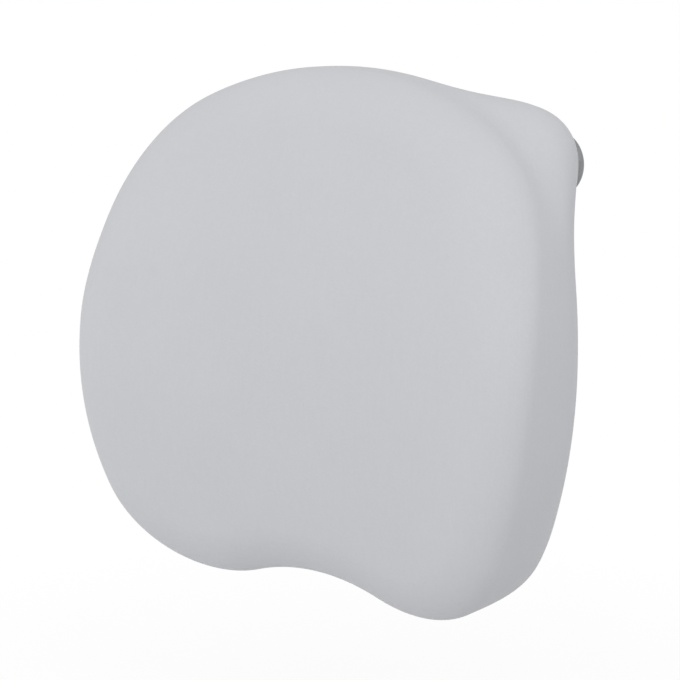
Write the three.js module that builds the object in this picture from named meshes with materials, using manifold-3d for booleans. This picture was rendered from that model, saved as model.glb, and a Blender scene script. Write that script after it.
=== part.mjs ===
// Bath pillow: a soft moulded headrest that four suction cups hold to the wall of a bath.
// Millimetres. +Z is up, the head rests on the -Y side, and the bath wall is the plane y = 0.
// The origin lies on the wall, behind the middle of the pillow.
import * as THREE from 'three';
import { mergeVertices } from 'three/addons/utils/BufferGeometryUtils.js';
import Module from 'manifold-3d';

// Outline of the front, as tangent arcs from the top round to the notch between the lobes
const FRONT_TOP = 128;
const FRONT_BOTTOM = 138.5;
const FRONT_CROWN_RADIUS = 185;
const FRONT_SHOULDER_RADIUS = 98;
const FRONT_SHOULDER_SPREAD = 73.5;
const FRONT_SIDE_RADIUS = 233;
const FRONT_LOBE_RADIUS = 65;
const FRONT_LOBE_SPREAD = 124;
const FRONT_NOTCH_RADIUS = 121;

// Outline of the rear, without its ears
const REAR_TOP = 117.5;
const REAR_BOTTOM = 138;
const REAR_CROWN_RADIUS = 193;
const REAR_SHOULDER_RADIUS = 69.5;
const REAR_SHOULDER_SPREAD = 62;
const REAR_SIDE_RADIUS = 284;
const REAR_LOBE_RADIUS = 42;
const REAR_LOBE_SPREAD = 125;
const REAR_NOTCH_RADIUS = 63;

// Depth of the pillow at its middle, and what the depth gains at FACE_REACH from there
const FACE_REACH = 140;
const DEPTH = 87;
const DEPTH_LEAN = -5.5;
const DEPTH_CROWN = -27;
const DEPTH_DISH = 8;
const DEPTH_DISH_LEAN = -13.5;

// Rolled edge of the front: its size all round, what it gains at the shoulders, where it gains most
// in degrees from the top, and the degrees over which the gain fades to each side
const ROLL_WIDTH = 26.5;
const ROLL_DEPTH = 17.5;
const ROLL_WIDTH_GAIN = 14.5;
const ROLL_DEPTH_GAIN = 4;
const ROLL_GAIN_TURN = 64;
const ROLL_UPPER_FADE = 34;
const ROLL_LOWER_FADE = 29.5;

// Side wall and rear edge
const WALL_SWELL = 3.25;
const REAR_EDGE_RADIUS = 4.5;

// Ears round the upper cups: reach past the cup's axis, how pointed they are, fade to each side in
// degrees, the share of the side wall over which they taper away, and how hollow and soft the taper is
const EAR_REACH = 24.5;
const EAR_POINT = 2.35;
const EAR_UPPER_FADE = 41;
const EAR_LOWER_FADE = 36;
const EAR_END = 0.95;
const EAR_HOLLOW = 1.38;
const EAR_SOFTNESS = 0.11;

// Groove behind the roll: its depth, its ends in degrees from the top, and its place and its rear
// half width as shares of the side wall. Before the ears it is a deeper and wider crease.
const GROOVE_DEPTH = 0.8;
const GROOVE_TOP = 20;
const GROOVE_BOTTOM = 115;
const GROOVE_PLACE = 0.84;
const GROOVE_WIDTH = 0.16;
const CREASE_DEPTH = 1.6;
const CREASE_WIDTH = 0.28;
const CREASE_TURN = 53;
const CREASE_UPPER_FADE = 25.5;
const CREASE_LOWER_FADE = 17;

// Places of the cups
const UPPER_CUP_SPREAD = 182;
const UPPER_CUP_RISE = 83;
const LOWER_CUP_SPREAD = 124;
const LOWER_CUP_DROP = 86;

// Skin, and the plate behind the foam
const SKIN_THICKNESS = 2;
const PLATE_THICKNESS = 3;
const PLATE_INSET = 11;

// Suction cup
const CUP_RADIUS = 17;
const CUP_LIP_WIDTH = 2.2;
const CUP_LIP_EDGE = 0.9;
const CUP_HEIGHT = 7.5;
const CUP_CROWN_WALL = 1.8;
const CUP_TRAVEL = 4;
const NECK_RADIUS = 4;
const NECK_FILLET = 1.2;
const HEAD_RADIUS = 6;
const HEAD_NOSE_RADIUS = 3.4;
const HEAD_THICKNESS = 3.4;

// Socket
const SOCKET_LIP = 2.4;
const SOCKET_LEAD = 1;
const SOCKET_WALL = 1.8;
const SOCKET_FLOOR = 1.8;
const FLANGE_WIDTH = 4;
const FLANGE_THICKNESS = 1.8;

// Clearances between seated and between moving pieces
const SEAT_GAP = 0.3;
const RUN_GAP = 0.5;

// Facets
const SKIN_STEPS = 54;
const CORE_STEPS = 36;
const CUP_STEPS = 28;
const SOCKET_STEPS = 20;

// Levels along Y that the pieces share, from the wall into the pillow
const REAR_Y = -(CUP_HEIGHT + CUP_TRAVEL + RUN_GAP);
const INSIDE_Y = REAR_Y - SKIN_THICKNESS - SEAT_GAP;
const PLATE_FRONT_Y = INSIDE_Y - PLATE_THICKNESS;
const FLANGE_BACK_Y = PLATE_FRONT_Y - SEAT_GAP;
const FLANGE_FRONT_Y = FLANGE_BACK_Y - FLANGE_THICKNESS;
const CHAMBER_BACK_Y = REAR_Y - SOCKET_LIP;
const HEAD_BACK_Y = CHAMBER_BACK_Y - SEAT_GAP;
const HEAD_FRONT_Y = HEAD_BACK_Y - HEAD_THICKNESS;
const CHAMBER_FRONT_Y = HEAD_FRONT_Y - CUP_TRAVEL - RUN_GAP;
const SOCKET_FRONT_Y = CHAMBER_FRONT_Y - SOCKET_FLOOR;

// Radii of the socket that other pieces are cut to
const MOUTH_RADIUS = NECK_RADIUS + RUN_GAP;
const CHAMBER_RADIUS = HEAD_RADIUS + RUN_GAP;
const BARREL_RADIUS = CHAMBER_RADIUS + SOCKET_WALL;
const FLANGE_RADIUS = BARREL_RADIUS + FLANGE_WIDTH;

const SEATS = {
  upper_left: [-UPPER_CUP_SPREAD / 2, UPPER_CUP_RISE],
  upper_right: [UPPER_CUP_SPREAD / 2, UPPER_CUP_RISE],
  lower_left: [-LOWER_CUP_SPREAD / 2, -LOWER_CUP_DROP],
  lower_right: [LOWER_CUP_SPREAD / 2, -LOWER_CUP_DROP],
};

const wasm = await Module();
wasm.setup();

function solid(geometry) {
  const bare = geometry.clone();
  bare.deleteAttribute('normal');
  bare.deleteAttribute('uv');
  const merged = mergeVertices(bare, 1e-4);
  return new wasm.Manifold(
    new wasm.Mesh({
      numProp: 3,
      vertProperties: merged.attributes.position.array,
      triVerts: new Uint32Array(merged.index.array),
    }),
  );
}

function geometryOf(body) {
  const { vertProperties, triVerts } = body.getMesh();
  const geometry = new THREE.BufferGeometry();
  geometry.setAttribute('position', new THREE.BufferAttribute(vertProperties, 3));
  geometry.setIndex(new THREE.BufferAttribute(triVerts, 1));
  geometry.computeVertexNormals();
  return geometry;
}

// Centre of the circle that two circles of the given centres and radii share, on the -X side
function centreBetween(a, radiusA, b, radiusB) {
  const along = b.clone().sub(a);
  const span = along.length();
  const run = (radiusA ** 2 - radiusB ** 2 + span ** 2) / (2 * span);
  const rise = Math.sqrt(radiusA ** 2 - run ** 2);
  along.normalize();
  const across = new THREE.Vector2(along.y, -along.x);
  return a.clone().addScaledVector(along, run).addScaledVector(across, rise);
}

// Right half of an outline, from the top centre down to the middle of the notch, as tangent arcs:
// crown, shoulder, side and lobe curve outwards, and the notch curves inwards.
function halfOutline({ top, bottom, crown, shoulder, shoulderSpread, side, lobe, lobeSpread, notch }) {
  const crownAt = new THREE.Vector2(0, top - crown);
  const shoulderX = shoulderSpread / 2;
  const shoulderRise = Math.sqrt((crown - shoulder) ** 2 - shoulderX ** 2);
  const shoulderAt = new THREE.Vector2(shoulderX, crownAt.y + shoulderRise);
  const lobeAt = new THREE.Vector2(lobeSpread / 2, lobe - bottom);
  const sideAt = centreBetween(shoulderAt, side - shoulder, lobeAt, side - lobe);
  const notchAt = new THREE.Vector2(0, lobeAt.y - Math.sqrt((notch + lobe) ** 2 - lobeAt.x ** 2));
  const toShoulder = shoulderAt.clone().sub(crownAt).angle();
  const toSide = shoulderAt.clone().sub(sideAt).angle();
  const toLobe = lobeAt.clone().sub(sideAt).angle();
  const toNotch = notchAt.clone().sub(lobeAt).angle();
  const fromNotch = lobeAt.clone().sub(notchAt).angle();
  return new THREE.Path()
    .absarc(crownAt.x, crownAt.y, crown, Math.PI / 2, toShoulder, true)
    .absarc(shoulderAt.x, shoulderAt.y, shoulder, toShoulder, toSide, true)
    .absarc(sideAt.x, sideAt.y, side, toSide, toLobe, true)
    .absarc(lobeAt.x, lobeAt.y, lobe, toLobe, toNotch, true)
    .absarc(notchAt.x, notchAt.y, notch, fromNotch, Math.PI / 2, false);
}

// Distance from the middle of the pillow to an outline, by the angle from straight up
function reachOf(path) {
  const points = path.getPoints(24);
  const angles = points.map((p) => Math.atan2(Math.abs(p.x), p.y));
  return (angle) => {
    const turn = Math.abs(angle);
    const next = angles.findIndex((a) => a >= turn);
    const k = next < 0 ? points.length - 1 : Math.max(1, next);
    const share = THREE.MathUtils.inverseLerp(angles[k - 1], angles[k], turn);
    return THREE.MathUtils.lerp(points[k - 1].length(), points[k].length(), share);
  };
}

const frontReach = reachOf(
  halfOutline({
    top: FRONT_TOP,
    bottom: FRONT_BOTTOM,
    crown: FRONT_CROWN_RADIUS,
    shoulder: FRONT_SHOULDER_RADIUS,
    shoulderSpread: FRONT_SHOULDER_SPREAD,
    side: FRONT_SIDE_RADIUS,
    lobe: FRONT_LOBE_RADIUS,
    lobeSpread: FRONT_LOBE_SPREAD,
    notch: FRONT_NOTCH_RADIUS,
  }),
);
const rearReach = reachOf(
  halfOutline({
    top: REAR_TOP,
    bottom: REAR_BOTTOM,
    crown: REAR_CROWN_RADIUS,
    shoulder: REAR_SHOULDER_RADIUS,
    shoulderSpread: REAR_SHOULDER_SPREAD,
    side: REAR_SIDE_RADIUS,
    lobe: REAR_LOBE_RADIUS,
    lobeSpread: REAR_LOBE_SPREAD,
    notch: REAR_NOTCH_RADIUS,
  }),
);

// Half a cosine wave from 1 at x = 0 down to 0 at x = 1
function ease(x) {
  return 0.5 + 0.5 * Math.cos(Math.PI * THREE.MathUtils.clamp(x, 0, 1));
}

// A wave round the outline, the same on both sides, that fades to each side of its highest turn
function wave(angle, turn, upperFade, lowerFade) {
  const past = THREE.MathUtils.radToDeg(Math.abs(angle)) - turn;
  return ease(Math.abs(past) / (past < 0 ? upperFade : lowerFade));
}

// What the ear adds to the rear outline: it reaches round the upper cup and fades to both sides
function earReach(angle) {
  const [x, z] = SEATS.upper_right;
  const middle = Math.atan2(x, z);
  const full = Math.hypot(x, z) + EAR_REACH - rearReach(middle);
  const turn = THREE.MathUtils.radToDeg(middle);
  return full * wave(angle, turn, EAR_UPPER_FADE, EAR_LOWER_FADE) ** EAR_POINT;
}

function earedReach(angle) {
  return rearReach(angle) + earReach(angle);
}

// How far up the ear stands over the side wall, from the rear edge at 0 to the rolled edge at 1
function earShare(s) {
  const left = 1 - s / EAR_END;
  const taper = (left + Math.hypot(left, EAR_SOFTNESS)) / (1 + Math.hypot(1, EAR_SOFTNESS));
  return taper ** EAR_HOLLOW;
}

function rollGain(angle) {
  return wave(angle, ROLL_GAIN_TURN, ROLL_UPPER_FADE, ROLL_LOWER_FADE);
}

// Depth of the groove behind the roll, which runs out at the roll and at its two ends
function grooveDepth(angle, s) {
  const middle = (GROOVE_TOP + GROOVE_BOTTOM) / 2;
  const quarter = (GROOVE_BOTTOM - GROOVE_TOP) / 4;
  const off = Math.abs(THREE.MathUtils.radToDeg(Math.abs(angle)) - middle);
  const level = ease((off - quarter) / quarter);
  const crease = wave(angle, CREASE_TURN, CREASE_UPPER_FADE, CREASE_LOWER_FADE);
  const past = s - GROOVE_PLACE;
  const reach = past < 0 ? GROOVE_WIDTH + CREASE_WIDTH * crease : 1 - GROOVE_PLACE;
  return (GROOVE_DEPTH * level + CREASE_DEPTH * crease) * ease(Math.abs(past) / reach);
}

// Angles that space the points of the rear outline evenly, the same on both sides
function evenAngles(steps) {
  const fine = 720;
  const angles = Array.from({ length: fine + 1 }, (_, i) => (Math.PI * i) / fine);
  const points = loopAt(angles, earedReach);
  const lengths = [0];
  for (let i = 1; i <= fine; i += 1) {
    lengths.push(lengths[i - 1] + points[i].distanceTo(points[i - 1]));
  }
  const half = steps / 2;
  const right = Array.from({ length: half + 1 }, (_, i) => {
    const goal = (lengths[fine] * i) / half;
    const k = Math.max(1, lengths.findIndex((l) => l >= goal - 1e-9));
    const share = THREE.MathUtils.inverseLerp(lengths[k - 1], lengths[k], goal);
    return THREE.MathUtils.lerp(angles[k - 1], angles[k], share);
  });
  const left = right.slice(1, half).reverse().map((a) => -a);
  return [...right, ...left];
}

// A closed loop in the XZ plane at the given reach, clockwise seen from the front
function loopAt(angles, reach) {
  return angles.map((a) => new THREE.Vector2(reach(a) * Math.sin(a), reach(a) * Math.cos(a)));
}

function outwardOf(loop) {
  return loop.map((_, i) => {
    const ahead = loop[(i + 1) % loop.length];
    const behind = loop[(i + loop.length - 1) % loop.length];
    const along = ahead.clone().sub(behind).normalize();
    return new THREE.Vector2(-along.y, along.x);
  });
}

function insetLoop(loop, outward, inset) {
  return loop.map((p, i) => p.clone().addScaledVector(outward[i], -inset));
}

// Depth of the pillow over a point of its rear face: crowned in height and dished in width
function depthAt(p) {
  const up = p.y / FACE_REACH;
  const out = p.x / FACE_REACH;
  const dish = DEPTH_DISH + DEPTH_DISH_LEAN * up;
  return DEPTH + DEPTH_LEAN * up + DEPTH_CROWN * up ** 2 + dish * out ** 2;
}

// Rings of points from the rear face over the edges to the front face, moved in by the given inset
function pillowRings(steps, wallSteps, rollSteps, faceSteps, inset) {
  const angles = evenAngles(steps);
  const front = loopAt(angles, frontReach);
  const rear = loopAt(angles, rearReach);
  const eared = loopAt(angles, earedReach);
  const frontOut = outwardOf(front);
  const rearOut = outwardOf(eared);
  const rings = [];
  const addRing = (point, y) =>
    rings.push(angles.map((_, i) => new THREE.Vector3(point(i).x, y(i), point(i).y)));

  const edge = REAR_EDGE_RADIUS - inset;
  for (let k = 0; k <= 2; k += 1) {
    const turn = (Math.PI / 4) * k;
    const back = inset + edge * (1 - Math.sin(turn));
    const down = inset + edge * (1 - Math.cos(turn));
    addRing((i) => eared[i].clone().addScaledVector(rearOut[i], -back), () => REAR_Y - down);
  }

  const rollWidth = angles.map((a) => ROLL_WIDTH + ROLL_WIDTH_GAIN * rollGain(a));
  const rollDepth = angles.map((a) => ROLL_DEPTH + ROLL_DEPTH_GAIN * rollGain(a));
  const wallEnd = front.map((p, i) => depthAt(p) - rollDepth[i]);
  for (let k = 1; k <= wallSteps; k += 1) {
    const s = k / wallSteps;
    const swell = 1 - (1 - s) ** WALL_SWELL;
    const point = (i) => {
      const wall = rear[i].clone().addScaledVector(rearOut[i], -inset);
      wall.lerp(front[i].clone().addScaledVector(frontOut[i], -inset), swell);
      wall.addScaledVector(eared[i].clone().sub(rear[i]), earShare(s));
      return wall.addScaledVector(frontOut[i], -grooveDepth(angles[i], s));
    };
    addRing(point, (i) => REAR_Y - THREE.MathUtils.lerp(REAR_EDGE_RADIUS, wallEnd[i], s));
  }

  for (let k = 1; k <= rollSteps; k += 1) {
    const turn = ((Math.PI / 2) * k) / rollSteps;
    const back = (i) => inset + (rollWidth[i] - inset) * (1 - Math.cos(turn));
    const sunk = (i) => inset + (rollDepth[i] - inset) * (1 - Math.sin(turn));
    const point = (i) => front[i].clone().addScaledVector(frontOut[i], -back(i));
    addRing(point, (i) => REAR_Y - depthAt(point(i)) + sunk(i));
  }

  const face = front.map((p, i) => p.clone().addScaledVector(frontOut[i], -rollWidth[i]));
  for (let k = faceSteps; k >= 1; k -= 1) {
    const point = (i) => face[i].clone().multiplyScalar(k / (faceSteps + 1));
    addRing(point, (i) => REAR_Y - depthAt(point(i)) + inset);
  }
  return rings;
}

// The pillow's closed form, moved in by the given inset
function pillowForm(steps, wallSteps, rollSteps, faceSteps, inset) {
  const rings = pillowRings(steps, wallSteps, rollSteps, faceSteps, inset);
  const middle = new THREE.Vector2();
  const rearPole = new THREE.Vector3(0, REAR_Y - inset, 0);
  const frontPole = new THREE.Vector3(0, REAR_Y - depthAt(middle) + inset, 0);
  const points = [...rings.flat(), rearPole, frontPole];
  const index = [];
  const last = (rings.length - 1) * steps;
  for (let i = 0; i < steps; i += 1) {
    const j = (i + 1) % steps;
    index.push(points.length - 2, i, j);
    for (let start = 0; start < last; start += steps) {
      index.push(start + i, start + steps + i, start + steps + j);
      index.push(start + i, start + steps + j, start + j);
    }
    index.push(last + i, points.length - 1, last + j);
  }
  return new THREE.BufferGeometry().setFromPoints(points).setIndex(index);
}

// A flat slab in the rear outline, moved in by the given inset, between two levels along Y
function rearSlab(inset, backY, frontY) {
  const angles = evenAngles(SKIN_STEPS);
  const eared = loopAt(angles, earedReach);
  const shape = new THREE.Shape(insetLoop(eared, outwardOf(eared), inset));
  const slab = new THREE.ExtrudeGeometry(shape, { depth: backY - frontY, bevelEnabled: false });
  return slab.rotateX(Math.PI / 2).translate(0, backY, 0);
}

// A revolved body about a cup's axis, from a profile of radii and levels along Y
function revolved(profile, steps) {
  return solid(new THREE.LatheGeometry(profile, steps));
}

function at(body, [x, z]) {
  return body.translate([x, 0, z]);
}

function drill(radius, backY, frontY) {
  const profile = [
    new THREE.Vector2(0, frontY),
    new THREE.Vector2(radius, frontY),
    new THREE.Vector2(radius, backY),
    new THREE.Vector2(0, backY),
  ];
  return revolved(profile, SOCKET_STEPS);
}

// Soft cup: nosed head in the socket, neck, dome and a flat lip that meets the wall
function suctionCup() {
  const hollowRadius = CUP_RADIUS - CUP_LIP_WIDTH;
  const hollowY = -(CUP_HEIGHT - CUP_CROWN_WALL);
  const profile = new THREE.Path()
    .moveTo(0, HEAD_FRONT_Y)
    .lineTo(HEAD_NOSE_RADIUS, HEAD_FRONT_Y)
    .quadraticCurveTo(HEAD_RADIUS, HEAD_FRONT_Y, HEAD_RADIUS, HEAD_BACK_Y)
    .lineTo(NECK_RADIUS, HEAD_BACK_Y)
    .lineTo(NECK_RADIUS, -CUP_HEIGHT - NECK_FILLET)
    .quadraticCurveTo(NECK_RADIUS, -CUP_HEIGHT, NECK_RADIUS + NECK_FILLET, -CUP_HEIGHT)
    .quadraticCurveTo(hollowRadius, -CUP_HEIGHT, CUP_RADIUS, -CUP_LIP_EDGE)
    .lineTo(CUP_RADIUS, 0)
    .lineTo(hollowRadius, 0)
    .quadraticCurveTo(hollowRadius, hollowY, 0, hollowY);
  return revolved(profile.getPoints(4), CUP_STEPS);
}

// Socket: a blind chamber behind a mouth with a lead-in, and a flange that bears on the plate
function socket() {
  const profile = new THREE.Path()
    .moveTo(0, SOCKET_FRONT_Y)
    .lineTo(BARREL_RADIUS, SOCKET_FRONT_Y)
    .lineTo(BARREL_RADIUS, FLANGE_FRONT_Y)
    .lineTo(FLANGE_RADIUS, FLANGE_FRONT_Y)
    .lineTo(FLANGE_RADIUS, FLANGE_BACK_Y)
    .lineTo(BARREL_RADIUS, FLANGE_BACK_Y)
    .lineTo(BARREL_RADIUS, REAR_Y)
    .lineTo(MOUTH_RADIUS + SOCKET_LEAD, REAR_Y)
    .lineTo(MOUTH_RADIUS, REAR_Y - SOCKET_LEAD)
    .lineTo(MOUTH_RADIUS, CHAMBER_BACK_Y)
    .lineTo(CHAMBER_RADIUS, CHAMBER_BACK_Y)
    .lineTo(CHAMBER_RADIUS, CHAMBER_FRONT_Y)
    .lineTo(0, CHAMBER_FRONT_Y);
  return revolved(profile.getPoints(1), SOCKET_STEPS);
}

// Room that the foam leaves round a socket
function socketRoom() {
  const flange = drill(FLANGE_RADIUS + SEAT_GAP, REAR_Y, FLANGE_FRONT_Y - SEAT_GAP);
  return flange.add(drill(BARREL_RADIUS + SEAT_GAP, REAR_Y, SOCKET_FRONT_Y - SEAT_GAP));
}

function skin() {
  let body = solid(pillowForm(SKIN_STEPS, 5, 3, 2, 0));
  body = body.subtract(solid(pillowForm(CORE_STEPS, 4, 2, 1, SKIN_THICKNESS)));
  const hole = drill(BARREL_RADIUS + SEAT_GAP, 0, INSIDE_Y - SEAT_GAP);
  for (const seat of Object.values(SEATS)) body = body.subtract(at(hole, seat));
  return body;
}

function foamCore() {
  let body = solid(pillowForm(CORE_STEPS, 4, 2, 1, SKIN_THICKNESS + SEAT_GAP));
  body = body.subtract(solid(rearSlab(PLATE_INSET - SEAT_GAP, REAR_Y, PLATE_FRONT_Y - SEAT_GAP)));
  const room = socketRoom();
  for (const seat of Object.values(SEATS)) body = body.subtract(at(room, seat));
  return body;
}

function backingPlate() {
  let body = solid(rearSlab(PLATE_INSET, INSIDE_Y, PLATE_FRONT_Y));
  const hole = drill(BARREL_RADIUS + SEAT_GAP, 0, FLANGE_FRONT_Y);
  for (const seat of Object.values(SEATS)) body = body.subtract(at(hole, seat));
  return body;
}

const SOFT_SKIN = new THREE.MeshStandardMaterial({ color: 0xcbccd0, roughness: 0.55, metalness: 0 });
const FOAM = new THREE.MeshStandardMaterial({ color: 0xd8d4c8, roughness: 0.95, metalness: 0 });
const PLATE_PLASTIC = new THREE.MeshStandardMaterial({ color: 0xe6e7e8, roughness: 0.5, metalness: 0 });
const SOCKET_PLASTIC = new THREE.MeshStandardMaterial({ color: 0xb9bbbe, roughness: 0.4, metalness: 0 });
const CUP_VINYL = new THREE.MeshStandardMaterial({ color: 0x8e9092, roughness: 0.25, metalness: 0 });

const pillow = new THREE.Group();

function addPiece(name, body, material) {
  const piece = new THREE.Mesh(geometryOf(body), material);
  piece.name = name;
  pillow.add(piece);
}

addPiece('skin', skin(), SOFT_SKIN);
addPiece('foam_core', foamCore(), FOAM);
addPiece('backing_plate', backingPlate(), PLATE_PLASTIC);
for (const [place, seat] of Object.entries(SEATS)) {
  addPiece(`socket_${place}`, at(socket(), seat), SOCKET_PLASTIC);
  addPiece(`suction_cup_${place}`, at(suctionCup(), seat), CUP_VINYL);
}

export default pillow;
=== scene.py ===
"""Bath pillow: the looks of a soft moulded headrest that four suction cups hold to a bath wall."""

import math

import bpy
import numpy as np
from bpy.props import FloatProperty, FloatVectorProperty, PointerProperty
from mathutils import Matrix, Vector


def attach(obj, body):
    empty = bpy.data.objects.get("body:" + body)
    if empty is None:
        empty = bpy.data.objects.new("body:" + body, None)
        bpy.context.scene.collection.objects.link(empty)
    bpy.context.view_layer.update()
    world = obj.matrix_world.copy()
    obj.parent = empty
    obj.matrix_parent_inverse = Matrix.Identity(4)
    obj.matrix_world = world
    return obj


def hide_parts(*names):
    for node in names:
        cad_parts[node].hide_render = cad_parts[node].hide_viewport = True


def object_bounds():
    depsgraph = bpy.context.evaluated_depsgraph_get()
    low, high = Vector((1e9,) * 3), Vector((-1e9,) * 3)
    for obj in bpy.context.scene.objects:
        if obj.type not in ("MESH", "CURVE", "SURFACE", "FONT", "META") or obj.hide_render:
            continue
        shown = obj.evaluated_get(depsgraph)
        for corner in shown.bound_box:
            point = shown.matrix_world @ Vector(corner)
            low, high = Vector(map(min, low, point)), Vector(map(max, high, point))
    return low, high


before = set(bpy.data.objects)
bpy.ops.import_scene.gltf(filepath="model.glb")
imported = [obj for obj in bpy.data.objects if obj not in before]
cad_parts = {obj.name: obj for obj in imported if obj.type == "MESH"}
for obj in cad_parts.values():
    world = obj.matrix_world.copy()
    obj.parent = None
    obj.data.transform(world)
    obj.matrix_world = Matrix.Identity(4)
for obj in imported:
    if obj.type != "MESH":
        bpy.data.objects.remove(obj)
CAD_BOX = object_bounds()

bl_info = {
    "name": "Bath Pillow",
    "version": (1, 0, 0),
    "blender": (4, 5, 0),
    "location": "View3D > Sidebar > Bath Pillow",
    "description": "Builds a soft moulded bath pillow with its suction cups",
    "category": "Object",
}

# Points along each arc of an outline, and turns tried when points are spaced evenly along it
ARC_POINTS = 120
FINE_TURNS = 1441

# Points round the pillow, and rings over its side wall, its roll and its face
SKIN_STEPS, SKIN_RINGS = 360, (44, 22, 26)
LINING_STEPS, LINING_RINGS = 120, (16, 8, 10)
FOAM_STEPS, FOAM_RINGS = 180, (22, 10, 12)

# Steps over the pillow's rear edge, and from the middle of its rear face to that edge
EDGE_STEPS = 8
REAR_STEPS = 6

# Points round a socket, a cup and the room for a socket in the foam
SOCKET_STEPS = 72
CUP_STEPS = 96
ROOM_STEPS = 48

# Steps over a cut corner, a flare, a small corner of a cup, its rim, and its dome or hollow
CUT_STEPS = 4
FLARE_STEPS = 5
CORNER_STEPS = 3
RIM_STEPS = 4
DOME_STEPS = 20

# The most of a line's length that a cut corner may take
CUT_SHARE = 0.45

# Edges stay sharp where they turn by more than this, in degrees
SKIN_CORNER = 24
FOAM_CORNER = 30
SOCKET_CORNER = 30
CUP_CORNER = 34

# Outer edge of a hole in the skin, in metres: depth, width and rise of its flare, and how far the
# form that cuts it rises over the rear face
FLARE_DEPTH = 0.0008
FLARE_WIDTH = 0.0006
FLARE_RISE = 0.0004
CUTTER_RISE = 0.002

# Rounding of a cup, in metres: of its rim and the side of its head, of its small corners, and of
# the corner under its head
RIM_ROUND = 0.0005
SMALL_ROUND = 0.0003
HEAD_ROUND = 0.0002

# Floor: how far it lies under the pillow, which hangs on its wall, and the radii of its inner and
# outer rings, in metres, then how many rings it has and the points round each
FLOOR_DROP = 0.08
FLOOR_INNER, FLOOR_OUTER = 0.2, 30
FLOOR_RINGS, FLOOR_STEPS = 12, 96

# Light fitted to the photo: its strength all round and from the front, where the front light comes
# from, and the lamp in metres and watts
SOFT_LIGHT = 0.745
FRONT_LIGHT = 1.27
FRONT_WAY = (-0.2, -0.98, 0.0)
LAMP_PLACE = (0.8, -0.15, 0.45)
LAMP_AIM = (0, -0.05, 0)
LAMP_WIDTH = 0.6
LAMP_WATTS = 1.0

# Camera fitted to the photo: degrees to the right, up and clockwise, where it looks and from how
# far, in metres, its focal length and the picture's middle and width in pixels, its sensor in
# millimetres, and the nearest that it sees, in metres
CAMERA_TURN, CAMERA_RISE, CAMERA_ROLL = 36.658, 9.754, 1.034
CAMERA_TARGET = (0, -0.057, 0.005)
CAMERA_DISTANCE = 1.05469
FOCAL_PIXELS = 2097.3545
PICTURE_MIDDLE = (334.33, 312.69)
PICTURE_WIDTH = 680
SENSOR_WIDTH = 36
NEAREST = 0.05


def length(name, description, millimetres):
    """A length that a user may change, given in millimetres and kept in metres."""
    return FloatProperty(
        name=name,
        description=description,
        default=millimetres / 1000,
        precision=4,
        subtype="DISTANCE",
        unit="LENGTH",
    )


def turn(name, description, degrees):
    """An angle that a user may change, given in degrees and kept in radians."""
    return FloatProperty(
        name=name,
        description=description,
        default=math.radians(degrees),
        subtype="ANGLE",
        unit="ROTATION",
    )


def share(name, description, value):
    """A plain number that a user may change."""
    return FloatProperty(name=name, description=description, default=value)


def colour(name, description, value):
    """A colour that a user may change, in linear red, green and blue."""
    return FloatVectorProperty(
        name=name,
        description=description,
        default=value,
        size=3,
        min=0,
        max=1,
        subtype="COLOR",
    )


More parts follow.
